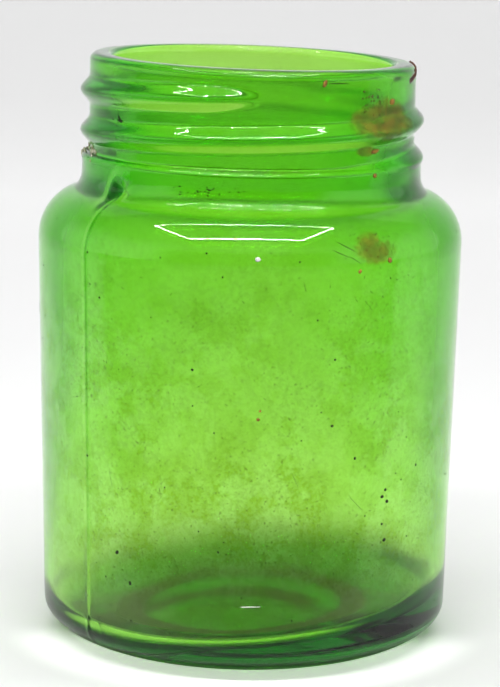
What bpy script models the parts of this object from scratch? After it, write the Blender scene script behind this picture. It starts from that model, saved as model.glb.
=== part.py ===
"""Wide-mouth screw-neck vial, moulded in one piece of green glass.

Metres, +Z up along the vial's axis. The origin is the centre of the base, on the plane that the
vial stands on. -Y is the front. A mould seam runs down the front left, and its twin is opposite.
"""

import math

import bmesh
import bpy

MM = 0.001

# Overall sizes
HEIGHT = 64.2 * MM
BODY_RADIUS_TOP = 23.25 * MM
BODY_RADIUS_FOOT = 22.4 * MM
TURN_STEPS = 64

# Underside: a shallow push-up inside a flat bearing ring, then a low rounded heel
PUSH_UP_HEIGHT = 0.9 * MM
BEARING_RING_INNER = 11.0 * MM
BEARING_RING_OUTER = 14.0 * MM
HEEL_HEIGHT = 4.0 * MM

# Shoulder: a quarter ellipse that stops short of its top and sweeps into the neck
SHOULDER_START_Z = 44.5 * MM
SHOULDER_CENTRE_RADIUS = 17.8 * MM
SHOULDER_RISE = 5.6 * MM
SHOULDER_SWEEP_DEG = 70.0
NECK_FILLET_TOP_Z = 52.0 * MM

# Neck and 38 mm screw finish: 37.5 mm over the thread, 6 turns to the inch
COLLAR_RADIUS = 18.55 * MM
COLLAR_TOP_Z = 53.8 * MM
COLLAR_ROUNDING = 0.6 * MM
NECK_RADIUS = 17.75 * MM
RIM_OUTER_ROUNDING = 0.9 * MM
RIM_INNER_ROUNDING = 0.7 * MM

# Thread ridge: right-handed, seen from above it falls clockwise from the front
THREAD_RADIUS = 18.75 * MM
THREAD_PITCH = 25.4 / 6 * MM
THREAD_HALF_WIDTH = 1.3 * MM
THREAD_START_Z = 61.25 * MM
THREAD_START_DEG = -88.0
THREAD_TURNS = 2.0
THREAD_LEAD_IN_DEG = 24.0
THREAD_RUN_OUT_DEG = 80.0
THREAD_ROOT_DEPTH = 0.8 * MM
THREAD_ARC_POINTS = 7

# Inside: bore, inner shoulder, wall and a thick floor that isn't quite level. The wall is
# thickest at the neck and thins towards the heel
BORE_RADIUS = 15.2 * MM
BORE_WAIST_RADIUS = 14.8 * MM
BORE_WAIST_Z = 58.0 * MM
BORE_FOOT_Z = 54.5 * MM
INNER_SHOULDER_Z = 43.6 * MM
INNER_SHOULDER_CENTRE_RADIUS = 16.4 * MM
INNER_SHOULDER_RISE = 4.6 * MM
INNER_SHOULDER_SWEEP_DEG = 68.0
INNER_RADIUS_TOP = 20.7 * MM
INNER_RADIUS_FOOT = 21.3 * MM
FLOOR_Z = 4.2 * MM
FLOOR_CROWN = 0.3 * MM
FLOOR_CORNER_RADIUS = 2.8 * MM
FLOOR_SLOPE_X = 0.075
FLOOR_SLOPE_Y = 0.04
FLOOR_SLOPE_FADE_Z = 20.0 * MM
FLOOR_WALL_MARGIN = 0.1 * MM

# Mould seams
SEAM_ANGLES_DEG = (-138.0, 42.0)
SEAM_WIDTH = 0.5 * MM
SEAM_HEIGHT = 0.15 * MM
SEAM_ROOT_DEPTH = 0.8 * MM
SEAM_FIRST_POINT = 2  # clear of the plane that the vial stands on
SEAM_LAST_POINT = -2

GLASS_GREEN = (0.22, 0.62, 0.07, 1.0)
GLASS_IOR = 1.52
GLASS_ROUGHNESS = 0.05
SHARP_ANGLE_DEG = 40.0


def clear_scene():
    for obj in list(bpy.data.objects):
        bpy.data.objects.remove(obj, do_unlink=True)


def ellipse_arc(centre, size, start_deg, end_deg, steps):
    """Points (radius, z) on an ellipse, both ends included."""
    points = []
    for step in range(steps + 1):
        angle = math.radians(start_deg + (end_deg - start_deg) * step / steps)
        points.append((centre[0] + size[0] * math.cos(angle), centre[1] + size[1] * math.sin(angle)))
    return points


def bend(start, corner, end, steps):
    """Points on a curve from start to end that leans towards corner, without its first point."""
    points = []
    for step in range(1, steps + 1):
        t = step / steps
        weights = ((1 - t) ** 2, 2 * t * (1 - t), t * t)
        points.append(
            tuple(sum(w * p[axis] for w, p in zip(weights, (start, corner, end))) for axis in (0, 1))
        )
    return points


def tangent_corner(arc_end, size, sweep_deg, radius):
    """Where the tangent at an ellipse's end meets a vertical line at radius."""
    angle = math.radians(sweep_deg)
    slope = size[1] * math.cos(angle) / (-size[0] * math.sin(angle))
    return (radius, arc_end[1] + (radius - arc_end[0]) * slope)


def underside_profile():
    """From the middle of the push-up out to the flat ring, which lies on z = 0."""
    points = []
    steps = 4
    for step in range(steps):
        share = step / steps
        points.append((BEARING_RING_INNER * share, PUSH_UP_HEIGHT * (1 - share * share)))
    points.append((BEARING_RING_INNER, 0.0))
    return points


def heel_and_shoulder_profile():
    """The outer line from the bearing ring up to the top of the neck fillet."""
    heel_size = (BODY_RADIUS_FOOT - BEARING_RING_OUTER, HEEL_HEIGHT)
    points = ellipse_arc((BEARING_RING_OUTER, HEEL_HEIGHT), heel_size, -90, 0, 6)
    centre = (SHOULDER_CENTRE_RADIUS, SHOULDER_START_Z)
    size = (BODY_RADIUS_TOP - SHOULDER_CENTRE_RADIUS, SHOULDER_RISE)
    points += ellipse_arc(centre, size, 0, SHOULDER_SWEEP_DEG, 7)
    corner = tangent_corner(points[-1], size, SHOULDER_SWEEP_DEG, COLLAR_RADIUS)
    points += bend(points[-1], corner, (COLLAR_RADIUS, NECK_FILLET_TOP_Z), 4)
    return points


def finish_profile():
    """Collar, thread wall and rim, down to the top of the bore."""
    rounding = COLLAR_ROUNDING
    points = ellipse_arc(
        (COLLAR_RADIUS - rounding, COLLAR_TOP_Z - rounding), (rounding, rounding), 0, 90, 3
    )
    points.append((NECK_RADIUS, COLLAR_TOP_Z + (COLLAR_RADIUS - rounding - NECK_RADIUS)))
    rounding = RIM_OUTER_ROUNDING
    points += ellipse_arc(
        (NECK_RADIUS - rounding, HEIGHT - rounding), (rounding, rounding), 0, 90, 4
    )
    rounding = RIM_INNER_ROUNDING
    points += ellipse_arc(
        (BORE_RADIUS + rounding, HEIGHT - rounding), (rounding, rounding), 90, 180, 3
    )
    return points


def inside_profile():
    """From the bore, which narrows to its waist, down the wall to the middle of the floor."""
    centre = (INNER_SHOULDER_CENTRE_RADIUS, INNER_SHOULDER_Z)
    size = (INNER_RADIUS_TOP - INNER_SHOULDER_CENTRE_RADIUS, INNER_SHOULDER_RISE)
    shoulder = ellipse_arc(centre, size, INNER_SHOULDER_SWEEP_DEG, 0, 6)
    corner = tangent_corner(shoulder[0], size, INNER_SHOULDER_SWEEP_DEG, BORE_WAIST_RADIUS)
    top = (BORE_RADIUS, HEIGHT - RIM_INNER_ROUNDING)
    waist = (BORE_WAIST_RADIUS, BORE_WAIST_Z)
    foot = (BORE_WAIST_RADIUS, BORE_FOOT_Z)
    points = bend(top, (BORE_RADIUS, (top[1] + waist[1]) / 2), waist, 3) + [foot]
    points += bend(foot, corner, shoulder[0], 4) + shoulder[1:]
    floor_corner = (INNER_RADIUS_FOOT - FLOOR_CORNER_RADIUS, FLOOR_Z + FLOOR_CORNER_RADIUS)
    radius = FLOOR_CORNER_RADIUS
    points += ellipse_arc(floor_corner, (radius, radius), 0, -90, 6)
    steps = 3
    for step in range(1, steps + 1):
        share = 1 - step / steps
        points.append((floor_corner[0] * share, FLOOR_Z + FLOOR_CROWN * (1 - share * share)))
    return points


def turned_body():
    """The vial's wall, turned about Z from one profile that starts and ends on the axis."""
    profile = (
        underside_profile() + heel_and_shoulder_profile() + finish_profile() + inside_profile()
    )
    bm = bmesh.new()
    verts = [bm.verts.new((radius, 0.0, z)) for radius, z in profile]
    edges = [bm.edges.new(pair) for pair in zip(verts, verts[1:])]
    bmesh.ops.spin(
        bm,
        geom=verts + edges,
        axis=(0, 0, 1),
        cent=(0, 0, 0),
        steps=TURN_STEPS,
        angle=math.tau,
        use_merge=True,
    )
    bmesh.ops.remove_doubles(bm, verts=bm.verts[:], dist=0.001 * MM)
    slope_the_floor(bm)
    bmesh.ops.recalc_face_normals(bm, faces=bm.faces[:])
    return bm


def slope_the_floor(bm):
    """Tips the inner floor, full at the bottom and gone by FLOOR_SLOPE_FADE_Z."""
    for vert in bm.verts:
        x, y, z = vert.co
        inside = math.hypot(x, y) < INNER_RADIUS_FOOT + FLOOR_WALL_MARGIN and z > FLOOR_Z / 2
        if inside and z < FLOOR_SLOPE_FADE_Z:
            fade = min(1.0, (FLOOR_SLOPE_FADE_Z - z) / (FLOOR_SLOPE_FADE_Z - FLOOR_Z))
            vert.co.z += fade * (FLOOR_SLOPE_X * x + FLOOR_SLOPE_Y * y)


def swept_solid(sections):
    """A closed solid through rings of points that all have the same number of corners."""
    bm = bmesh.new()
    rings = [[bm.verts.new(point) for point in section] for section in sections]
    count = len(rings[0])
    for ring, after in zip(rings, rings[1:]):
        for corner in range(count):
            following = (corner + 1) % count
            bm.faces.new((ring[corner], ring[following], after[following], after[corner]))
    bm.faces.new(rings[0])
    bm.faces.new(rings[-1][::-1])
    bmesh.ops.recalc_face_normals(bm, faces=bm.faces[:])
    return bm


def thread_section(turned_deg):
    """The ridge's outline after turned_deg of thread: half an ellipse on a root in the wall."""
    end_deg = THREAD_TURNS * 360
    lead_in = min(1.0, turned_deg / THREAD_LEAD_IN_DEG)
    run_out = min(1.0, (end_deg - turned_deg) / THREAD_RUN_OUT_DEG)
    fullness = math.sin(math.pi / 2 * lead_in) * run_out
    crest = THREAD_RADIUS - NECK_RADIUS
    surface = NECK_RADIUS - 0.5 * (1 - fullness) * crest
    half_width = THREAD_HALF_WIDTH * (0.5 + 0.5 * fullness)
    outline = [(surface - THREAD_ROOT_DEPTH, -half_width)]
    for step in range(THREAD_ARC_POINTS):
        angle = math.pi * (step / (THREAD_ARC_POINTS - 1) - 0.5)
        outline.append((surface + crest * fullness * math.cos(angle), half_width * math.sin(angle)))
    outline.append((surface - THREAD_ROOT_DEPTH, half_width))
    around = math.radians(THREAD_START_DEG - turned_deg)
    middle = THREAD_START_Z - THREAD_PITCH * turned_deg / 360
    return [
        (radius * math.cos(around), radius * math.sin(around), middle + along)
        for radius, along in outline
    ]


def thread_ridge():
    steps = round(THREAD_TURNS * TURN_STEPS)
    turned = [THREAD_TURNS * 360 * step / steps for step in range(steps + 1)]
    return swept_solid([thread_section(turned_deg) for turned_deg in turned])


def seam_rib(angle_deg):
    """A thin rib that follows the outer wall from the heel to the foot of the neck."""
    line = heel_and_shoulder_profile()[SEAM_FIRST_POINT:SEAM_LAST_POINT]
    outward = (math.cos(math.radians(angle_deg)), math.sin(math.radians(angle_deg)))
    sideways = (-outward[1], outward[0])
    sections = []
    for index, (radius, z) in enumerate(line):
        before = line[max(index - 1, 0)]
        after = line[min(index + 1, len(line) - 1)]
        along = (after[0] - before[0], after[1] - before[1])
        length = math.hypot(*along)
        normal = (along[1] / length, -along[0] / length)
        section = []
        corners = ((-SEAM_ROOT_DEPTH, -1), (SEAM_HEIGHT, -1), (SEAM_HEIGHT, 1), (-SEAM_ROOT_DEPTH, 1))
        for lift, side in corners:
            at = radius + lift * normal[0]
            shift = side * SEAM_WIDTH / 2
            section.append(
                (
                    at * outward[0] + shift * sideways[0],
                    at * outward[1] + shift * sideways[1],
                    z + lift * normal[1],
                )
            )
        sections.append(section)
    return swept_solid(sections)


def add_object(name, bm):
    mesh = bpy.data.meshes.new(name)
    bm.to_mesh(mesh)
    bm.free()
    obj = bpy.data.objects.new(name, mesh)
    bpy.context.scene.collection.objects.link(obj)
    return obj


def fuse(target, helper):
    """Joins helper into target with a Boolean, and keeps helper out of the part."""
    helper.hide_render = True
    helper.display_type = "WIRE"
    modifier = target.modifiers.new("fuse_" + helper.name, "BOOLEAN")
    modifier.operation = "UNION"
    modifier.solver = "EXACT"
    modifier.object = helper


def green_glass():
    material = bpy.data.materials.new("green_glass")
    material.use_nodes = True
    shader = material.node_tree.nodes["Principled BSDF"]
    shader.inputs["Base Color"].default_value = GLASS_GREEN
    shader.inputs["Roughness"].default_value = GLASS_ROUGHNESS
    shader.inputs["Metallic"].default_value = 0.0
    shader.inputs["IOR"].default_value = GLASS_IOR
    shader.inputs["Transmission Weight"].default_value = 1.0
    return material


def main():
    clear_scene()
    vial = add_object("glass_vial", turned_body())
    fuse(vial, add_object("thread_ridge", thread_ridge()))
    for side, angle_deg in zip(("front", "back"), SEAM_ANGLES_DEG):
        fuse(vial, add_object("mould_seam_" + side, seam_rib(angle_deg)))
    vial.data.materials.append(green_glass())
    vial.data.shade_smooth()
    vial.data.set_sharp_from_angle(angle=math.radians(SHARP_ANGLE_DEG))


main()
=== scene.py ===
"""Looks of the green glass screw-neck vial: a fine glass body, its dirt and rust, and the studio.

Metres, +Z up along the vial's axis, the base on z = 0, -Y at the front, as in the CAD.
"""

import bisect
import math
import random

import bmesh
import bpy
from mathutils import Matrix, Vector, noise

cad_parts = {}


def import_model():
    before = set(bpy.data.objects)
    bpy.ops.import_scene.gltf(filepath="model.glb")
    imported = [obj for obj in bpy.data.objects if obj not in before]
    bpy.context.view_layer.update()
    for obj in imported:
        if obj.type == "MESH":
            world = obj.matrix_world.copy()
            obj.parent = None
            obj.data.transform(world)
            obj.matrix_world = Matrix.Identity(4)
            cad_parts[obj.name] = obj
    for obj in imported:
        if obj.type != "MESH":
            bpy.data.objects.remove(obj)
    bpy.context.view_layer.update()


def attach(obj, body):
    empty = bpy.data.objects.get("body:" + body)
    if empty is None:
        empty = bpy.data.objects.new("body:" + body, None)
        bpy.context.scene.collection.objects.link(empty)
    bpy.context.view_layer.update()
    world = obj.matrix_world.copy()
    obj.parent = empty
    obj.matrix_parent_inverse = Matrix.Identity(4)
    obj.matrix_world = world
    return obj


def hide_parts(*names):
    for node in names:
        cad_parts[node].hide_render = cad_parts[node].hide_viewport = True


MM = 0.001

# Camera: close, a little above the rim, turned a touch so that the vial leans to the left at its top
CAMERA_SIDE = 0.2 * MM
CAMERA_DISTANCE = 296.7 * MM
CAMERA_HEIGHT = 88.1 * MM
CAMERA_PITCH_DEG = 10.62
CAMERA_ROLL_DEG = 1.03
CAMERA_LENS = 142.7

# Outer form, the same sizes as the CAD solid
HEIGHT = 64.2 * MM
BODY_RADIUS_TOP = 23.25 * MM
BODY_RADIUS_FOOT = 22.4 * MM
PUSH_UP_HEIGHT = 0.9 * MM
BEARING_RING_INNER = 11.0 * MM
BEARING_RING_OUTER = 14.0 * MM
HEEL_HEIGHT = 4.0 * MM
SHOULDER_START_Z = 44.5 * MM
SHOULDER_CENTRE_RADIUS = 17.8 * MM
SHOULDER_RISE = 5.6 * MM
SHOULDER_SWEEP_DEG = 70.0
NECK_FILLET_TOP_Z = 52.0 * MM
COLLAR_RADIUS = 18.55 * MM
COLLAR_TOP_Z = 53.8 * MM
COLLAR_ROUNDING = 0.6 * MM
NECK_RADIUS = 17.75 * MM
RIM_OUTER_ROUNDING = 0.9 * MM
RIM_INNER_ROUNDING = 0.7 * MM

# Inner form
BORE_RADIUS = 15.2 * MM
BORE_FOOT_RADIUS = 14.8 * MM
BORE_FOOT_Z = 54.5 * MM
BORE_WAIST_Z = 58.0 * MM
INNER_SHOULDER_Z = 43.6 * MM
INNER_SHOULDER_CENTRE_RADIUS = 16.4 * MM
INNER_SHOULDER_RISE = 4.6 * MM
INNER_SHOULDER_SWEEP_DEG = 68.0
INNER_RADIUS_TOP = 20.7 * MM
INNER_RADIUS_FOOT = 21.3 * MM
FLOOR_Z = 4.2 * MM
FLOOR_CROWN = 0.3 * MM
FLOOR_CORNER_RADIUS = 2.8 * MM
FLOOR_SLOPE_X = 0.075
FLOOR_SLOPE_Y = 0.04
FLOOR_SLOPE_FADE_Z = 20.0 * MM

# Thread
THREAD_RISE = 1.0 * MM
THREAD_PITCH = 25.4 / 6 * MM
THREAD_HALF_WIDTH = 1.55 * MM
THREAD_START_Z = 61.25 * MM
THREAD_START_DEG = -88.0
THREAD_TURNS = 2.0
THREAD_LEAD_IN_DEG = 20.0
THREAD_RUN_OUT_DEG = 80.0

# The finish sits a little askew: it falls towards +X by this slope at the rim
FINISH_TILT = -0.022
FINISH_TILT_FROM_Z = 49.0 * MM

# Mould seams
SEAM_ANGLES_DEG = (-138.0, 42.0)
SEAM_HALF_WIDTH_DEG = 1.1
SEAM_RISE = 0.07 * MM

# A pinch in the shoulder at the top of the front seam: a hollow with a ridge round its left side
PINCH_DEG = -137.0
PINCH_Z = 50.8 * MM
PINCH_DEPTH = 0.45 * MM
PINCH_RADIUS = 0.8 * MM
PINCH_RIDGE = 0.2 * MM
PINCH_RIDGE_RADIUS = 1.7 * MM
PINCH_RIDGE_WIDTH = 0.55 * MM

# Swells left in the glass by the mould and by uneven cooling
OUTER_SWELL = 0.025 * MM
INNER_SWELL = 0.12 * MM
SWELL_SCALE = 120

TURN_STEPS = 300

# How dull the glass is: clean, under full grime, on the inner wall and on the inner floor
CLEAN_ROUGHNESS = 0.01
GRIME_ROUGHNESS = 0.12
INNER_ROUGHNESS = 0.2
FLOOR_ROUGHNESS = 0.1
FLOOR_TO_WALL_Z = (7 * MM, 14 * MM)

# The colour that the glass takes on with depth
DEEP_GLASS_COLOUR = (0.575, 0.935, 0.0)
DEEP_GLASS_DENSITY = 600

# The finish looks deeper in colour than its walls alone would, and its bore holds a pale film
NECK_TINT = (0.88, 0.94, 0.7)
NECK_TINT_Z = (49 * MM, 53 * MM)
BORE_FILM = 1.0
BORE_FILM_Z = (50 * MM, 58 * MM)

# The film on the outside: how it colours the light that crosses it, how pale it shines, and the
# heights between which it thins out upwards, starts over the base, and starts to shine
GRIME_TINT = (0.57, 0.6, 0.1)
SPECK_COLOUR = (0.3, 0.26, 0.1)
HAZE_COAT = 1.0
FILM_LEAST = 0.15
FILM_FADE_Z = (52 * MM, 32 * MM)
FILM_OFF_BASE_Z = (2 * MM, 16 * MM)
HAZE_Z = (10 * MM, 24 * MM)

# Dirt, and the grain that makes a painted highlight
STAIN_LIFT = 0.05 * MM
STAIN_THICKNESS = 0.02 * MM
GRAIN_THICKNESS = 0.5
GRAIN_LUMPINESS = 0.35

# Tent: its glow, and the directions between which its front opening and its roof begin
OPENING_Y = (-0.45, -0.8)
OPENING_Z = (0.55, 0.3)
ROOF_Z = (0.25, 0.65)
WALL_GLOW = 1.15
ROOF_GLOW = 0.25
ROOM_GLOW = 0.05
BACKDROP_GLOW = 0.8

# Light strips
STRIP_FRAME_X = (-0.295, 0.240)
STRIP_FRAME_Y = (-0.345, -0.025)
STRIP_HEIGHT = 0.500
STRIP_WIDTH = 0.010
BACK_STRIP_WIDTH = 0.006
FRONT_STRIP_RADIANCE = 190.0
SIDE_STRIP_RADIANCE = 40.0
BACK_STRIP_RADIANCE = 60.0

# Paper
PAPER_WHITE = 0.74
PAPER_GLOW_Y = (-0.02, 0.44)
PAPER_GLOW = ((0.0, 0.0), (0.065, 0.125), (0.16, 0.15), (0.42, 0.19), (0.83, 0.32), (1.0, 0.25))
SHADE_MIDDLE_Y = 0.02
SHADE_RADII = (0.024, 0.05)
HALO_RADII = (0.028, 0.020)
HALO_FRONT_Y = (0.0, -0.009)
HALO_GLOW = 0.5
GLASS_EXTRA_GLOW = 0.085
UNDER_RADII = (0.018, 0.009)
UNDER_SHADE = 0.22
NEAR_Y = (-0.026, -0.045)
NEAR_SHADE = 0.75


def new_object(name, bm):
    """A smooth mesh object in the scene from a bmesh, which is used up."""
    mesh = bpy.data.meshes.new(name)
    bm.to_mesh(mesh)
    bm.free()
    mesh.shade_smooth()
    obj = bpy.data.objects.new(name, mesh)
    bpy.context.scene.collection.objects.link(obj)
    return obj


def ellipse_arc(centre, size, start_deg, end_deg, steps):
    """Points (radius, z) on an ellipse, both ends included."""
    points = []
    for step in range(steps + 1):
        angle = math.radians(start_deg + (end_deg - start_deg) * step / steps)
        points.append((centre[0] + size[0] * math.cos(angle), centre[1] + size[1] * math.sin(angle)))
    return points


def straight(start, end, steps):
    """Points between start and end, both left out."""
    return [
        (
            start[0] + (end[0] - start[0]) * step / steps,
            start[1] + (end[1] - start[1]) * step / steps,
        )
        for step in range(1, steps)
    ]


def bend(start, corner, end, steps):
    """Points on a curve from start to end that leans towards corner, both ends left out."""
    points = []
    for step in range(1, steps):
        t = step / steps
        weights = ((1 - t) ** 2, 2 * t * (1 - t), t * t)
        points.append(
            tuple(sum(w * p[axis] for w, p in zip(weights, (start, corner, end))) for axis in (0, 1))
        )
    return points


def tangent_corner(arc_end, size, sweep_deg, radius):
    """Where the tangent at an ellipse's end meets a vertical line at radius."""
    angle = math.radians(sweep_deg)
    slope = size[1] * math.cos(angle) / (-size[0] * math.sin(angle))
    return (radius, arc_end[1] + (radius - arc_end[0]) * slope)


def outside_profile():
    """From the middle of the underside up to the rim's outer edge."""
    points = [(0.0, PUSH_UP_HEIGHT)]
    steps = 10
    for step in range(1, steps + 1):
        share = step / steps
        points.append((BEARING_RING_INNER * share, PUSH_UP_HEIGHT * (1 - share * share)))
    heel_size = (BODY_RADIUS_FOOT - BEARING_RING_OUTER, HEEL_HEIGHT)
    points += ellipse_arc((BEARING_RING_OUTER, HEEL_HEIGHT), heel_size, -90, 0, 14)
    points += straight(points[-1], (BODY_RADIUS_TOP, SHOULDER_START_Z), 56)
    size = (BODY_RADIUS_TOP - SHOULDER_CENTRE_RADIUS, SHOULDER_RISE)
    points += ellipse_arc((SHOULDER_CENTRE_RADIUS, SHOULDER_START_Z), size, 0, SHOULDER_SWEEP_DEG, 20)
    neck_foot = (COLLAR_RADIUS, NECK_FILLET_TOP_Z)
    corner = tangent_corner(points[-1], size, SHOULDER_SWEEP_DEG, COLLAR_RADIUS)
    points += bend(points[-1], corner, neck_foot, 10) + [neck_foot]
    return points


def finish_profile():
    """Collar, thread wall and rim, over the top and down to the start of the bore."""
    rounding = COLLAR_ROUNDING
    start = (COLLAR_RADIUS, COLLAR_TOP_Z - rounding)
    points = straight((COLLAR_RADIUS, NECK_FILLET_TOP_Z), start, 8)
    points += ellipse_arc((COLLAR_RADIUS - rounding, start[1]), (rounding, rounding), 0, 90, 5)
    foot = (NECK_RADIUS, COLLAR_TOP_Z + 0.35 * MM)
    points += bend(points[-1], (NECK_RADIUS, COLLAR_TOP_Z), foot, 4) + [foot]
    rounding = RIM_OUTER_ROUNDING
    points += straight(foot, (NECK_RADIUS, HEIGHT - rounding), 58)
    points += ellipse_arc((NECK_RADIUS - rounding, HEIGHT - rounding), (rounding, rounding), 0, 90, 8)
    points += straight(points[-1], (BORE_RADIUS + RIM_INNER_ROUNDING, HEIGHT), 3)
    rounding = RIM_INNER_ROUNDING
    points += ellipse_arc((BORE_RADIUS + rounding, HEIGHT - rounding), (rounding, rounding), 90, 180, 7)
    return points


def inside_profile():
    """From the start of the bore down to the middle of the floor."""
    foot = (BORE_FOOT_RADIUS, BORE_FOOT_Z)
    waist = (BORE_FOOT_RADIUS, BORE_WAIST_Z)
    top = (BORE_RADIUS, HEIGHT - RIM_INNER_ROUNDING)
    points = bend(top, (BORE_RADIUS, (top[1] + waist[1]) / 2), waist, 10) + [waist]
    points += straight(waist, foot, 12) + [foot]
    centre = (INNER_SHOULDER_CENTRE_RADIUS, INNER_SHOULDER_Z)
    size = (INNER_RADIUS_TOP - INNER_SHOULDER_CENTRE_RADIUS, INNER_SHOULDER_RISE)
    shoulder = ellipse_arc(centre, size, INNER_SHOULDER_SWEEP_DEG, 0, 16)
    corner = tangent_corner(shoulder[0], size, INNER_SHOULDER_SWEEP_DEG, BORE_FOOT_RADIUS)
    points += bend(foot, corner, shoulder[0], 8) + shoulder
    radius = FLOOR_CORNER_RADIUS
    corner_centre = (INNER_RADIUS_FOOT - radius, FLOOR_Z + radius)
    points += straight(shoulder[-1], (INNER_RADIUS_FOOT, corner_centre[1]), 40)
    points += ellipse_arc(corner_centre, (radius, radius), 0, -90, 12)
    steps = 16
    for step in range(1, steps + 1):
        share = 1 - step / steps
        points.append((corner_centre[0] * share, FLOOR_Z + FLOOR_CROWN * (1 - share * share)))
    return points


OUTER_LINE = [point for point in outside_profile() if point[0] >= BODY_RADIUS_FOOT or point[1] > MM]
OUTER_LINE += [point for point in finish_profile() if point[0] > NECK_RADIUS - RIM_OUTER_ROUNDING]


def angle_from(angle_deg, centre_deg):
    """Signed turn in degrees from centre_deg, between -180 and 180."""
    return (angle_deg - centre_deg + 180) % 360 - 180


def crowded_angles():
    """Maps the even steps of a full turn onto angles that crowd together at the mould seams."""
    samples = 3600
    total = 0.0
    sums = [0.0]
    for index in range(samples):
        angle = 360 * (index + 0.5) / samples
        density = 1.0
        for seam in SEAM_ANGLES_DEG:
            density += 5 * math.exp(-((angle_from(angle, seam) / 2.5) ** 2))
        total += density
        sums.append(total)

    def place(angle_deg):
        wanted = (angle_deg % 360) / 360 * total
        index = max(1, min(samples, bisect.bisect_left(sums, wanted)))
        share = (wanted - sums[index - 1]) / (sums[index] - sums[index - 1])
        return 360 * (index - 1 + share) / samples

    return place


def smooth_step(low, high, value):
    t = max(0.0, min(1.0, (value - low) / (high - low)))
    return t * t * (3 - 2 * t)


def thread_rise(angle_deg, z):
    """How far the thread ridge stands out of the neck wall at this place."""
    turned = (THREAD_START_DEG - angle_deg) % 360
    rise = 0.0
    end_deg = THREAD_TURNS * 360
    while turned < end_deg:
        away = abs(z - (THREAD_START_Z - THREAD_PITCH * turned / 360))
        if away < THREAD_HALF_WIDTH:
            lead_in = min(1.0, turned / THREAD_LEAD_IN_DEG)
            run_out = min(1.0, (end_deg - turned) / THREAD_RUN_OUT_DEG)
            fullness = math.sin(math.pi / 2 * lead_in) * smooth_step(0, 1, run_out)
            width = THREAD_HALF_WIDTH * (0.45 + 0.55 * fullness)
            if away < width:
                shape = (0.5 + 0.5 * math.cos(math.pi * away / width)) ** 0.75
                rise = max(rise, THREAD_RISE * fullness * shape)
        turned += 360
    return rise


def seam_rise(angle_deg, z):
    fade = smooth_step(0.5 * MM, 3 * MM, z) * (1 - smooth_step(48.5 * MM, 51.5 * MM, z))
    rise = 0.0
    for seam in SEAM_ANGLES_DEG:
        away = abs(angle_from(angle_deg, seam)) / SEAM_HALF_WIDTH_DEG
        rise = max(rise, SEAM_RISE * fade * math.exp(-(away**2) * 2.2))
    return rise


def pinch_rise(angle_deg, z):
    """The hollow and ridge of the pinch at the top of the front seam."""
    across = math.radians(angle_from(angle_deg, PINCH_DEG)) * COLLAR_RADIUS
    up = z - PINCH_Z
    away = math.hypot(across, up)
    if away > 3 * PINCH_RIDGE_RADIUS:
        return 0.0
    hollow = -PINCH_DEPTH * math.exp(-((away / PINCH_RADIUS) ** 2))
    left = smooth_step(-0.6 * MM, 0.8 * MM, 0.6 * up - across)
    ring = math.exp(-(((away - PINCH_RIDGE_RADIUS) / PINCH_RIDGE_WIDTH) ** 2))
    return hollow + PINCH_RIDGE * ring * left


def swell(angle_deg, z, seed):
    """Soft unevenness in the glass, between about -1 and 1."""
    around = math.radians(angle_deg)
    place = Vector((math.cos(around), math.sin(around), 0)) * BODY_RADIUS_TOP * SWELL_SCALE
    return noise.noise(place + Vector((seed, -seed, z * SWELL_SCALE * 0.6)))


def glass_body():
    """The whole vial as one closed skin, spun from its profile and then worked over point by point."""
    outside = outside_profile()
    finish = finish_profile()
    inside = inside_profile()
    bm = bmesh.new()
    layer = bm.verts.layers.int.new("side")
    inner_wall = bm.verts.layers.float.new("inner_wall")
    verts = []
    for side, points in enumerate((outside, finish, inside)):
        for radius, z in points:
            vert = bm.verts.new((radius, 0.0, z))
            vert[layer] = side
            vert[inner_wall] = 1.0 if side == 2 else 0.0
            verts.append(vert)
    edges = [bm.edges.new(pair) for pair in zip(verts, verts[1:])]
    bmesh.ops.spin(
        bm,
        geom=verts + edges,
        axis=(0, 0, 1),
        cent=(0, 0, 0),
        steps=TURN_STEPS,
        angle=math.tau,
        use_merge=True,
    )
    bmesh.ops.remove_doubles(bm, verts=bm.verts[:], dist=0.0005 * MM)
    place = crowded_angles()
    for vert in bm.verts:
        x, y, z = vert.co
        radius = math.hypot(x, y)
        if radius < 0.01 * MM:
            continue
        angle_deg = place(math.degrees(math.atan2(y, x)))
        side = vert[layer]
        if side == 0 and z > HEEL_HEIGHT:
            radius += OUTER_SWELL * swell(angle_deg, z, 3.1)
        if side == 0:
            radius += seam_rise(angle_deg, z)
        if side < 2 and z > SHOULDER_START_Z:
            radius += pinch_rise(angle_deg, z)
        if side == 2 and z > FLOOR_Z + FLOOR_CORNER_RADIUS and z < HEIGHT - 2 * MM:
            radius += INNER_SWELL * swell(angle_deg, z, 8.7)
        if side == 1 and radius > NECK_RADIUS - 0.05 * MM and z < HEIGHT - RIM_OUTER_ROUNDING:
            radius = max(radius, NECK_RADIUS + thread_rise(angle_deg, z))
        around = math.radians(angle_deg)
        x, y = radius * math.cos(around), radius * math.sin(around)
        if side == 2 and z < FLOOR_SLOPE_FADE_Z:
            fade = min(1.0, (FLOOR_SLOPE_FADE_Z - z) / (FLOOR_SLOPE_FADE_Z - FLOOR_Z))
            z += fade * (FLOOR_SLOPE_X * x + FLOOR_SLOPE_Y * y)
        z += FINISH_TILT * smooth_step(FINISH_TILT_FROM_Z, HEIGHT, z) * x
        vert.co = (x, y, z)
    bmesh.ops.recalc_face_normals(bm, faces=bm.faces[:])
    return new_object("glass_vial_body", bm)


def math_node(nodes, links, operation, first, second):
    """A Math node whose inputs are sockets or plain numbers."""
    node = nodes.new("ShaderNodeMath")
    node.operation = operation
    for socket, value in zip(node.inputs, (first, second)):
        if isinstance(value, (int, float)):
            socket.default_value = value
        else:
            links.new(value, socket)
    return node.outputs["Value"]


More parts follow.
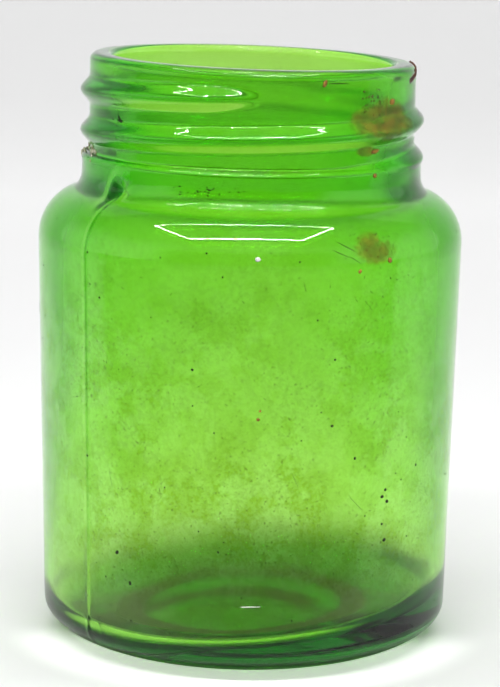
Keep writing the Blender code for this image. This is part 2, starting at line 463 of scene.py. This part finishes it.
def ramp_between(nodes, links, value, span, ends=(0.0, 1.0), soft=True):
    """A step of a value: the first of ends where it is span[0], the second where it is span[1]."""
    step = nodes.new("ShaderNodeMapRange")
    step.interpolation_type = "SMOOTHSTEP" if soft else "LINEAR"
    step.inputs["From Min"].default_value, step.inputs["From Max"].default_value = span
    step.inputs["To Min"].default_value, step.inputs["To Max"].default_value = ends
    links.new(value, step.inputs["Value"])
    return step.outputs["Result"]


def noise_cloud(nodes, links, coordinates, scale, detail, roughness):
    cloud = nodes.new("ShaderNodeTexNoise")
    cloud.inputs["Scale"].default_value = scale
    cloud.inputs["Detail"].default_value = detail
    cloud.inputs["Roughness"].default_value = roughness
    links.new(coordinates, cloud.inputs["Vector"])
    return cloud.outputs["Fac"]


def noise_mask(nodes, links, coordinates, scale, detail, span):
    """A 0 to 1 mask that is 0 where the noise is under span[0] and 1 where it is over span[1]."""
    return ramp_between(nodes, links, noise_cloud(nodes, links, coordinates, scale, detail, 0.65), span)


def mixed_colour(nodes, links, factor, first, second, blend="MIX"):
    """The colour of a Mix node between two colours, each a socket or a plain colour."""
    mix = nodes.new("ShaderNodeMix")
    mix.data_type = "RGBA"
    mix.blend_type = blend
    links.new(factor, mix.inputs["Factor"])
    for name, colour in (("A", first), ("B", second)):
        if isinstance(colour, tuple):
            mix.inputs[name].default_value = (*colour, 1)
        else:
            links.new(colour, mix.inputs[name])
    return mix.outputs["Result"]


def distance_from(nodes, links, place, centre):
    node = nodes.new("ShaderNodeVectorMath")
    node.operation = "DISTANCE"
    node.inputs[1].default_value = centre
    links.new(place, node.inputs[0])
    return node.outputs["Value"]


def weighted_sum(nodes, links, terms):
    """The sum of (value, weight) pairs."""
    total = None
    for value, weight in terms:
        part = math_node(nodes, links, "MULTIPLY", value, weight)
        total = part if total is None else math_node(nodes, links, "ADD", total, part)
    return total


def dried_film_group():
    """Node group: the olive grime, pale haze and fine specks that old glass dries with, as masks."""
    group = bpy.data.node_groups.new("dried_film", "ShaderNodeTree")
    group.interface.new_socket("Coordinates", in_out="INPUT", socket_type="NodeSocketVector")
    group.interface.new_socket("Amount", in_out="INPUT", socket_type="NodeSocketFloat")
    for output in ("Grime", "Haze", "Specks"):
        group.interface.new_socket(output, in_out="OUTPUT", socket_type="NodeSocketFloat")
    nodes, links = group.nodes, group.links
    inputs = nodes.new("NodeGroupInput")
    outputs = nodes.new("NodeGroupOutput")
    where = inputs.outputs["Coordinates"]
    amount = inputs.outputs["Amount"]
    wide = noise_mask(nodes, links, where, 80, 4, (0.36, 0.6))
    patches = noise_mask(nodes, links, where, 300, 6, (0.46, 0.56))
    fine = noise_mask(nodes, links, where, 1900, 4, (0.45, 0.57))
    spread = math_node(nodes, links, "ADD", math_node(nodes, links, "MULTIPLY", wide, 0.55), 0.45)
    spread = math_node(nodes, links, "MULTIPLY", spread, amount)
    grime = weighted_sum(nodes, links, ((fine, 0.45), (patches, 0.65)))
    links.new(math_node(nodes, links, "MULTIPLY", grime, spread), outputs.inputs["Grime"])
    clear = math_node(nodes, links, "SUBTRACT", 1.0, patches)
    haze = weighted_sum(nodes, links, ((fine, 0.4), (clear, 0.6)))
    links.new(math_node(nodes, links, "MULTIPLY", haze, spread), outputs.inputs["Haze"])
    dots = noise_mask(nodes, links, where, 2600, 2, (0.63, 0.68))
    links.new(math_node(nodes, links, "MULTIPLY", dots, spread), outputs.inputs["Specks"])
    return group


def green_glass():
    """Green glass, coloured by the depth of glass that the light crosses, under a dried film."""
    material = bpy.data.materials.new("green_glass")
    material.use_nodes = True
    nodes, links = material.node_tree.nodes, material.node_tree.links
    shader = nodes["Principled BSDF"]
    shader.inputs["Metallic"].default_value = 0.0
    shader.inputs["IOR"].default_value = 1.52
    shader.inputs["Transmission Weight"].default_value = 1.0
    shader.inputs["Coat Roughness"].default_value = 0.55
    shader.inputs["Coat IOR"].default_value = 1.7
    place = nodes.new("ShaderNodeTexCoord").outputs["Object"]
    split = nodes.new("ShaderNodeSeparateXYZ")
    links.new(place, split.inputs["Vector"])
    inner = nodes.new("ShaderNodeAttribute")
    inner.attribute_name = "inner_wall"
    outer = math_node(nodes, links, "SUBTRACT", 1.0, inner.outputs["Fac"])
    height = split.outputs["Z"]
    film_amount = ramp_between(nodes, links, height, FILM_FADE_Z, (FILM_LEAST, 1.0))
    off_base = ramp_between(nodes, links, height, FILM_OFF_BASE_Z)
    film_amount = math_node(nodes, links, "MULTIPLY", film_amount, off_base)
    film = nodes.new("ShaderNodeGroup")
    film.node_tree = dried_film_group()
    links.new(place, film.inputs["Coordinates"])
    links.new(math_node(nodes, links, "MULTIPLY", film_amount, outer), film.inputs["Amount"])
    colour = mixed_colour(nodes, links, film.outputs["Grime"], (1, 1, 1), GRIME_TINT)
    colour = mixed_colour(nodes, links, film.outputs["Specks"], colour, SPECK_COLOUR)
    high_up = ramp_between(nodes, links, height, NECK_TINT_Z)
    colour = mixed_colour(nodes, links, high_up, colour, NECK_TINT, "MULTIPLY")
    links.new(colour, shader.inputs["Base Color"])
    outer_rough = math_node(nodes, links, "MULTIPLY", film.outputs["Grime"], GRIME_ROUGHNESS)
    outer_rough = math_node(nodes, links, "ADD", outer_rough, CLEAN_ROUGHNESS)
    dull = ramp_between(nodes, links, height, FLOOR_TO_WALL_Z, (FLOOR_ROUGHNESS, INNER_ROUGHNESS), soft=False)
    inner_rough = math_node(nodes, links, "MULTIPLY", inner.outputs["Fac"], dull)
    links.new(math_node(nodes, links, "ADD", outer_rough, inner_rough), shader.inputs["Roughness"])
    above_heel = ramp_between(nodes, links, height, HAZE_Z)
    haze = math_node(nodes, links, "MULTIPLY", film.outputs["Haze"], above_heel)
    haze = math_node(nodes, links, "MULTIPLY", haze, HAZE_COAT)
    in_neck = ramp_between(nodes, links, height, BORE_FILM_Z)
    bore_film = math_node(nodes, links, "MULTIPLY", inner.outputs["Fac"], in_neck)
    bore_film = math_node(nodes, links, "MULTIPLY", bore_film, BORE_FILM)
    links.new(math_node(nodes, links, "ADD", haze, bore_film), shader.inputs["Coat Weight"])
    absorption = nodes.new("ShaderNodeVolumeAbsorption")
    absorption.inputs["Color"].default_value = (*DEEP_GLASS_COLOUR, 1)
    absorption.inputs["Density"].default_value = DEEP_GLASS_DENSITY
    links.new(absorption.outputs["Volume"], nodes["Material Output"].inputs["Volume"])
    return material


def outer_radius(z):
    """The plain outer radius at this height, before the thread, seams and swells."""
    line = OUTER_LINE
    index = bisect.bisect_left([point[1] for point in line], z)
    index = max(1, min(len(line) - 1, index))
    (r0, z0), (r1, z1) = line[index - 1], line[index]
    share = 0.0 if z1 == z0 else (z - z0) / (z1 - z0)
    return r0 + (r1 - r0) * max(0.0, min(1.0, share))


def on_glass(angle_deg, z, lift):
    """The point that stands off the finished outer surface by lift."""
    radius = outer_radius(z)
    if z > COLLAR_TOP_Z:
        on_wall = z < HEIGHT - RIM_OUTER_ROUNDING
        radius = max(radius, NECK_RADIUS + thread_rise(angle_deg, z)) if on_wall else radius
    if HEEL_HEIGHT < z < NECK_FILLET_TOP_Z:
        radius += OUTER_SWELL * swell(angle_deg, z, 3.1)
    radius += lift
    around = math.radians(angle_deg)
    x, y = radius * math.cos(around), radius * math.sin(around)
    return Vector((x, y, z + FINISH_TILT * smooth_step(FINISH_TILT_FROM_Z, HEIGHT, z) * x))


def stain_sheet(name, angles, heights, steps):
    """A thin skin of dirt that follows the glass, with an attribute that fades it out at its edge."""
    bm = bmesh.new()
    bmesh.ops.create_grid(bm, x_segments=steps[0], y_segments=steps[1], size=0.5)
    fade = bm.verts.layers.float.new("fade")
    for vert in bm.verts:
        across, up = vert.co.x + 0.5, vert.co.y + 0.5
        away = math.hypot(2 * across - 1, 2 * up - 1)
        vert[fade] = 1 - smooth_step(0.2, 1.05, away)
        angle_deg = angles[0] + (angles[1] - angles[0]) * across
        z = heights[0] + (heights[1] - heights[0]) * up
        vert.co = on_glass(angle_deg, z, STAIN_LIFT)
    bmesh.ops.recalc_face_normals(bm, faces=bm.faces[:])
    bmesh.ops.solidify(bm, geom=bm.faces[:], thickness=STAIN_THICKNESS)
    bmesh.ops.recalc_face_normals(bm, faces=bm.faces[:])
    return new_object(name, bm)


def grains(name, marks, seed, detail=2, sink=0.0):
    """Flattened grains stuck on the glass: dirt, and one painted highlight.

    Each mark is (angle in degrees, height, width, length, turn in degrees), its lengths in
    millimetres. Sink presses the grains into the surface.
    """
    rng = random.Random(seed)
    bm = bmesh.new()
    for angle_deg, height, width, length, turn_deg in marks:
        z = height * MM
        made = bmesh.ops.create_icosphere(bm, subdivisions=detail, radius=0.5)["verts"]
        shift = Vector((rng.uniform(0, 90), rng.uniform(0, 90), 0))
        for vert in made:
            vert.co *= 1 + GRAIN_LUMPINESS * noise.noise(vert.co * 3.0 + shift)
        middle = on_glass(angle_deg, z, -sink)
        out = (on_glass(angle_deg, z, MM) - middle).normalized()
        slope = on_glass(angle_deg, z + 0.2 * MM, 0) - on_glass(angle_deg, z - 0.2 * MM, 0)
        sideways = slope.cross(out).normalized()
        up = out.cross(sideways).normalized()
        out = sideways.cross(up).normalized()
        axes = Matrix((sideways, up, out)).transposed().to_4x4()
        thickness = min(width, length) * GRAIN_THICKNESS
        size = Matrix.Diagonal((width * MM, length * MM, thickness * MM, 1))
        turn = Matrix.Rotation(math.radians(turn_deg), 4, "Z")
        placed = Matrix.Translation(middle) @ axes @ turn @ size
        bmesh.ops.transform(bm, matrix=placed, verts=made)
    bmesh.ops.recalc_face_normals(bm, faces=bm.faces[:])
    return new_object(name, bm)


def dirt_and_highlight_material(name, dark, light, scale, alpha=None):
    """Dry, matt dirt in two mixed colours, also used for the pale grain of a painted highlight.

    For a thin stain, alpha is (noise scale, low, high, most): the stain covers nothing where the
    faded noise is under low, and the share most where it is over high.
    """
    material = bpy.data.materials.new(name)
    material.use_nodes = True
    nodes, links = material.node_tree.nodes, material.node_tree.links
    shader = nodes["Principled BSDF"]
    place = nodes.new("ShaderNodeTexCoord").outputs["Object"]
    cloud = noise_mask(nodes, links, place, scale, 4, (0.38, 0.62))
    links.new(mixed_colour(nodes, links, cloud, dark, light), shader.inputs["Base Color"])
    rough = math_node(nodes, links, "MULTIPLY", cloud, 0.25)
    links.new(math_node(nodes, links, "ADD", rough, 0.65), shader.inputs["Roughness"])
    bump = nodes.new("ShaderNodeBump")
    bump.inputs["Strength"].default_value = 0.4
    bump.inputs["Distance"].default_value = 0.05 * MM
    links.new(cloud, bump.inputs["Height"])
    links.new(bump.outputs["Normal"], shader.inputs["Normal"])
    if alpha:
        patch_scale, low, high, most = alpha
        fade = nodes.new("ShaderNodeAttribute")
        fade.attribute_name = "fade"
        patches = noise_cloud(nodes, links, place, patch_scale, 5, 0.7)
        amount = math_node(nodes, links, "MULTIPLY", patches, fade.outputs["Fac"])
        links.new(ramp_between(nodes, links, amount, (low, high), (0.0, most)), shader.inputs["Alpha"])
    return material


def speck_marks(rng):
    """The dark specks that show low on the right, and a fine scatter of them all round."""
    marks = [(-50.7, 19.6, 0.5, 0.4, 0), (-49.6, 20.3, 0.35, 0.35, 0), (-48.9, 19.0, 0.45, 0.4, 0)]
    marks += [(-49.3, 14.8, 0.5, 0.45, 20), (-50.4, 16.6, 0.3, 0.3, 0), (-126.5, 13.2, 0.6, 0.45, 40)]
    marks += [(-122.2, 10.1, 0.35, 0.6, 10), (-67.3, 27.9, 0.4, 0.3, 0), (-60.2, 24.2, 0.3, 0.35, 0)]
    marks.append((-104.3, 33.8, 0.35, 0.3, 0))
    for _ in range(150):
        size = rng.uniform(0.10, 0.24)
        spot = (rng.uniform(-180, 180), rng.uniform(5, 48))
        marks.append((*spot, size, size * rng.uniform(0.7, 1.6), rng.uniform(0, 180)))
    return marks


def crumb_marks(rng):
    """Soot on the upper thread, in the corner over the collar and in a line under the collar."""
    marks = []
    for _ in range(12):
        size = rng.uniform(0.1, 0.28)
        spot = (rng.gauss(-142, 1.6), rng.gauss(57.9, 0.22))
        marks.append((*spot, size, size * 1.2, rng.uniform(0, 180)))
    for _ in range(14):
        size = rng.uniform(0.1, 0.24)
        spot = (rng.uniform(-178, -156), rng.gauss(53.7, 0.3))
        marks.append((*spot, size, size, rng.uniform(0, 180)))
    for _ in range(36):
        size = rng.uniform(0.07, 0.2)
        spot = (rng.gauss(-105, 6), rng.gauss(51.6, 0.3))
        marks.append((*spot, size * 1.8, size * 0.6, rng.uniform(-15, 15)))
    return marks


def crust_marks(rng):
    """Pale, dry lumps in the corner over the collar at the left."""
    marks = []
    for _ in range(34):
        size = rng.uniform(0.3, 0.7)
        spot = (rng.uniform(-181, -158), rng.gauss(53.95, 0.28))
        marks.append((*spot, size, size, rng.uniform(0, 180)))
    return marks


def orange_rust_marks():
    marks = [(-43.2, 55.6, 1.3, 0.5, 8), (-45.7, 53.1, 0.6, 0.5, 0), (-65.2, 63.0, 0.5, 0.8, -25)]
    marks += [(-87.1, 28.8, 0.4, 0.35, 0), (-86.6, 29.7, 0.25, 0.3, 0), (-51.3, 44.9, 0.5, 0.6, 0)]
    marks += [(-60.7, 44.0, 0.4, 0.45, 0), (-34.0, 60.8, 0.9, 0.7, 0)]
    return marks


def rust_fleck_marks(rng):
    """Brown flecks in the rust on the neck and in the stain on the shoulder."""
    marks = []
    for _ in range(40):
        spot = (rng.gauss(-45, 3.4), rng.gauss(60.9, 0.85))
        marks.append((*spot, rng.uniform(0.07, 0.2), rng.uniform(0.1, 0.36), rng.gauss(0, 40)))
    for _ in range(24):
        spot = (rng.gauss(-56, 3.2), rng.gauss(46.6, 0.8))
        marks.append((*spot, rng.uniform(0.06, 0.15), rng.uniform(0.08, 0.26), rng.gauss(40, 40)))
    return marks


def rim_stain_marks(rng):
    """A brown line that runs down over the rounded edge of the rim at the right."""
    marks = []
    count = 22
    for step in range(count):
        share = step / (count - 1)
        spot = (10 - 28 * share, 63.75 - share * share)
        marks.append((*spot, rng.uniform(0.6, 1.0), rng.uniform(0.6, 0.9), rng.uniform(-10, 10)))
    return marks


def scratch_marks(rng):
    """Scratches beside the stain on the shoulder, short flecks at the front and a few long ones."""
    marks = [(-64.5, 46.6, 0.07, 2.6, 62), (-66.0, 45.9, 0.06, 2.2, 66)]
    marks += [(-62.0, 45.2, 0.05, 1.8, 58), (-60.0, 63.0, 0.08, 2.6, 88)]
    for _ in range(70):
        length = rng.uniform(0.1, 0.5)
        spot = (rng.uniform(-140, -40), rng.uniform(30, 49.5))
        marks.append((*spot, 0.045, length, rng.uniform(0, 180)))
    for _ in range(14):
        length = rng.uniform(0.8, 3.0)
        spot = (rng.uniform(-180, 180), rng.uniform(14, 46))
        marks.append((*spot, 0.04, length, rng.uniform(10, 80)))
    return marks


def dirt():
    """Rust, crumbs and specks on the outside of the glass, a thin pale line low at the front, and one pale
    grain that is a painted highlight.
    """
    rust = dirt_and_highlight_material("rust", (0.14, 0.075, 0.02), (0.34, 0.15, 0.04), 900, (260, 0.26, 0.56, 0.38))
    olive = dirt_and_highlight_material("olive_stain", (0.12, 0.08, 0.01), (0.26, 0.15, 0.02), 800, (380, 0.26, 0.6, 0.4))
    brown = dirt_and_highlight_material("rim_stain", (0.05, 0.02, 0.015), (0.14, 0.065, 0.04), 900)
    soot = dirt_and_highlight_material("dark_dirt", (0.006, 0.01, 0.006), (0.03, 0.035, 0.015), 2500)
    orange = dirt_and_highlight_material("orange_rust", (0.2, 0.11, 0.02), (0.42, 0.24, 0.05), 2500)
    crust = dirt_and_highlight_material("dry_crust", (0.3, 0.28, 0.17), (0.62, 0.6, 0.48), 1800)
    # Pale grey grains: a thin pale line low at the front, and a painted highlight on the lower shoulder
    pale = dirt_and_highlight_material("pale_line_and_highlight_paint", (0.55, 0.56, 0.54), (0.8, 0.8, 0.78), 2500)
    rng = random.Random(7)
    # The first pale grain is a painted highlight, the reflection of a small bright thing near the camera; the
    # second is a thin pale line
    pale_line_and_painted_highlight = [(-87.9, 45.5, 0.62, 0.5, 4), (-88.2, 8.7, 2.3, 0.16, 1)]
    pieces = (
        (stain_sheet("rust_on_neck", (-70, -10), (54.8 * MM, 63.3 * MM), (60, 48)), rust),
        (stain_sheet("rust_under_thread", (-56, -38), (54.6 * MM, 56.8 * MM), (30, 16)), rust),
        (stain_sheet("stain_on_shoulder", (-68, -44), (43.2 * MM, 49.2 * MM), (40, 30)), olive),
        (grains("dark_specks", speck_marks(rng), 1, detail=1), soot),
        (grains("dark_crumbs", crumb_marks(rng), 2), soot),
        (grains("dry_crust", crust_marks(rng), 3), crust),
        (grains("rust_grains", orange_rust_marks(), 4), orange),
        (grains("rust_flecks", rust_fleck_marks(rng), 9), brown),
        (grains("stain_on_rim", rim_stain_marks(rng), 8, sink=0.13 * MM), brown),
        (grains("pale_line_and_painted_highlight", pale_line_and_painted_highlight, 5), pale),
        (grains("fine_scratches", scratch_marks(rng), 6), soot),
    )
    for piece, material in pieces:
        piece.data.materials.append(material)
        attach(piece, "root")


def paper_material():
    """White paper that glows softly towards the back and in a halo in front of the vial's foot."""
    material = bpy.data.materials.new("paper")
    material.use_nodes = True
    shader = material.node_tree.nodes["Principled BSDF"]
    shader.inputs["Roughness"].default_value = 0.9
    shader.inputs["Specular IOR Level"].default_value = 0.1
    shader.inputs["Emission Strength"].default_value = 1.0
    nodes, links = material.node_tree.nodes, material.node_tree.links
    place = nodes.new("ShaderNodeTexCoord").outputs["Object"]
    split = nodes.new("ShaderNodeSeparateXYZ")
    links.new(place, split.inputs["Vector"])
    depth = ramp_between(nodes, links, split.outputs["Y"], PAPER_GLOW_Y, soft=False)
    glow = nodes.new("ShaderNodeValToRGB")
    stops = glow.color_ramp.elements
    while len(stops) < len(PAPER_GLOW):
        stops.new(1.0)
    for stop, (position, level) in zip(stops, PAPER_GLOW):
        stop.position = position
        stop.color = (level, level, level, 1)
    links.new(depth, glow.inputs["Fac"])
    behind = distance_from(nodes, links, place, (0, SHADE_MIDDLE_Y, 0))
    open_paper = ramp_between(nodes, links, behind, SHADE_RADII)
    rays = nodes.new("ShaderNodeLightPath")
    seen_past = rays.outputs["Is Camera Ray"]
    lit = math_node(nodes, links, "MAXIMUM", open_paper, seen_past)
    far = math_node(nodes, links, "MULTIPLY", glow.outputs["Color"], lit)
    in_glass = math_node(nodes, links, "SUBTRACT", 1.0, seen_past)
    extra = math_node(nodes, links, "MULTIPLY", open_paper, in_glass)
    extra = math_node(nodes, links, "MULTIPLY", extra, GLASS_EXTRA_GLOW)
    far = math_node(nodes, links, "ADD", far, extra)
    away = distance_from(nodes, links, place, (0, 0, 0))
    halo = ramp_between(nodes, links, away, HALO_RADII)
    in_front = ramp_between(nodes, links, split.outputs["Y"], HALO_FRONT_Y)
    halo = math_node(nodes, links, "MULTIPLY", halo, in_front)
    halo = math_node(nodes, links, "MULTIPLY", halo, seen_past)
    halo = math_node(nodes, links, "MULTIPLY", halo, HALO_GLOW)
    links.new(math_node(nodes, links, "ADD", far, halo), shader.inputs["Emission Color"])
    under = ramp_between(nodes, links, away, UNDER_RADII)
    under = math_node(nodes, links, "MULTIPLY", under, in_glass)
    under = math_node(nodes, links, "MULTIPLY", under, UNDER_SHADE)
    near = ramp_between(nodes, links, split.outputs["Y"], NEAR_Y)
    near = math_node(nodes, links, "MULTIPLY", near, rays.outputs["Is Glossy Ray"])
    near = math_node(nodes, links, "MULTIPLY", near, NEAR_SHADE)
    shade = math_node(nodes, links, "SUBTRACT", math_node(nodes, links, "SUBTRACT", 1.0, under), near)
    links.new(math_node(nodes, links, "MULTIPLY", shade, PAPER_WHITE), shader.inputs["Base Color"])
    return material


def studio_sweep():
    """A pale floor that curves up into a backdrop."""
    bm = bmesh.new()
    front, turn, radius, top, half = -0.9, 0.35, 0.25, 1.2, 0.9
    line = [(front, 0.0), (turn, 0.0)]
    steps = 16
    for step in range(1, steps + 1):
        angle = math.pi / 2 * step / steps
        line.append((turn + radius * math.sin(angle), radius * (1 - math.cos(angle))))
    line.append((turn + radius, top))
    verts = [bm.verts.new((-half, y, z)) for y, z in line]
    edges = [bm.edges.new(pair) for pair in zip(verts, verts[1:])]
    made = bmesh.ops.extrude_edge_only(bm, edges=edges)
    moved = [item for item in made["geom"] if isinstance(item, bmesh.types.BMVert)]
    bmesh.ops.translate(bm, verts=moved, vec=(2 * half, 0, 0))
    bmesh.ops.recalc_face_normals(bm, faces=bm.faces[:])
    sweep = new_object("studio_sweep", bm)
    sweep.data.materials.append(paper_material())


def area_light(name, place, size, power):
    """A rectangular light that faces straight down."""
    data = bpy.data.lights.new(name, "AREA")
    data.shape = "RECTANGLE"
    data.size, data.size_y = size
    data.energy = power
    light = bpy.data.objects.new(name, data)
    light.location = place
    bpy.context.scene.collection.objects.link(light)


def tent():
    """A white tent, open low down at the front, with a plain pale backdrop straight behind."""
    world = bpy.data.worlds.new("studio")
    world.use_nodes = True
    nodes, links = world.node_tree.nodes, world.node_tree.links
    around = nodes.new("ShaderNodeTexCoord")
    split = nodes.new("ShaderNodeSeparateXYZ")
    links.new(around.outputs["Generated"], split.inputs["Vector"])
    ahead = ramp_between(nodes, links, split.outputs["Y"], OPENING_Y)
    low = ramp_between(nodes, links, split.outputs["Z"], OPENING_Z)
    opening = math_node(nodes, links, "MULTIPLY", ahead, low)
    closed = math_node(nodes, links, "SUBTRACT", 1.0, opening)
    cloth = ramp_between(nodes, links, split.outputs["Z"], ROOF_Z, (WALL_GLOW, ROOF_GLOW))
    glow = math_node(nodes, links, "MULTIPLY", closed, cloth)
    glow = math_node(nodes, links, "ADD", glow, ROOM_GLOW)
    backdrop = nodes.new("ShaderNodeMix")
    links.new(nodes.new("ShaderNodeLightPath").outputs["Is Camera Ray"], backdrop.inputs["Factor"])
    links.new(glow, backdrop.inputs["A"])
    backdrop.inputs["B"].default_value = BACKDROP_GLOW
    links.new(backdrop.outputs["Result"], nodes["Background"].inputs["Color"])
    bpy.context.scene.world = world


def strip_lights():
    """Four light strips in a frame overhead."""
    left, right = STRIP_FRAME_X
    front, back = STRIP_FRAME_Y
    middle_x, middle_y = (left + right) / 2, (front + back) / 2
    across, along = right - left, back - front
    for name, x, y, size, radiance in (
        ("strip_front", middle_x, front, (across, STRIP_WIDTH), FRONT_STRIP_RADIANCE),
        ("strip_back", middle_x, back, (across, BACK_STRIP_WIDTH), BACK_STRIP_RADIANCE),
        ("strip_left", left, middle_y, (STRIP_WIDTH, along), SIDE_STRIP_RADIANCE),
        ("strip_right", right, middle_y, (STRIP_WIDTH, along), SIDE_STRIP_RADIANCE),
    ):
        power = radiance * math.pi * size[0] * size[1]
        area_light(name, (x, y, STRIP_HEIGHT), size, power)


def camera():
    data = bpy.data.cameras.new("camera")
    data.lens = CAMERA_LENS
    data.sensor_width = 36
    data.clip_start = 0.01
    obj = bpy.data.objects.new("camera", data)
    turn = Matrix.Rotation(math.radians(90 - CAMERA_PITCH_DEG), 4, "X")
    roll = Matrix.Rotation(math.radians(CAMERA_ROLL_DEG), 4, "Z")
    place = Matrix.Translation((CAMERA_SIDE, -CAMERA_DISTANCE, CAMERA_HEIGHT))
    obj.matrix_world = place @ turn @ roll
    bpy.context.scene.collection.objects.link(obj)
    bpy.context.scene.camera = obj


def main():
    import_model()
    bpy.context.scene.view_settings.view_transform = "Standard"
    bpy.context.scene.view_settings.gamma = 0.85
    bpy.context.scene.cycles.max_bounces = 32
    bpy.context.scene.cycles.transmission_bounces = 32
    bpy.context.scene.cycles.glossy_bounces = 16
    camera()
    studio_sweep()
    tent()
    strip_lights()
    body = glass_body()
    body.data.materials.append(green_glass())
    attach(body, "root")
    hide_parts("glass_vial")
    dirt()


main()
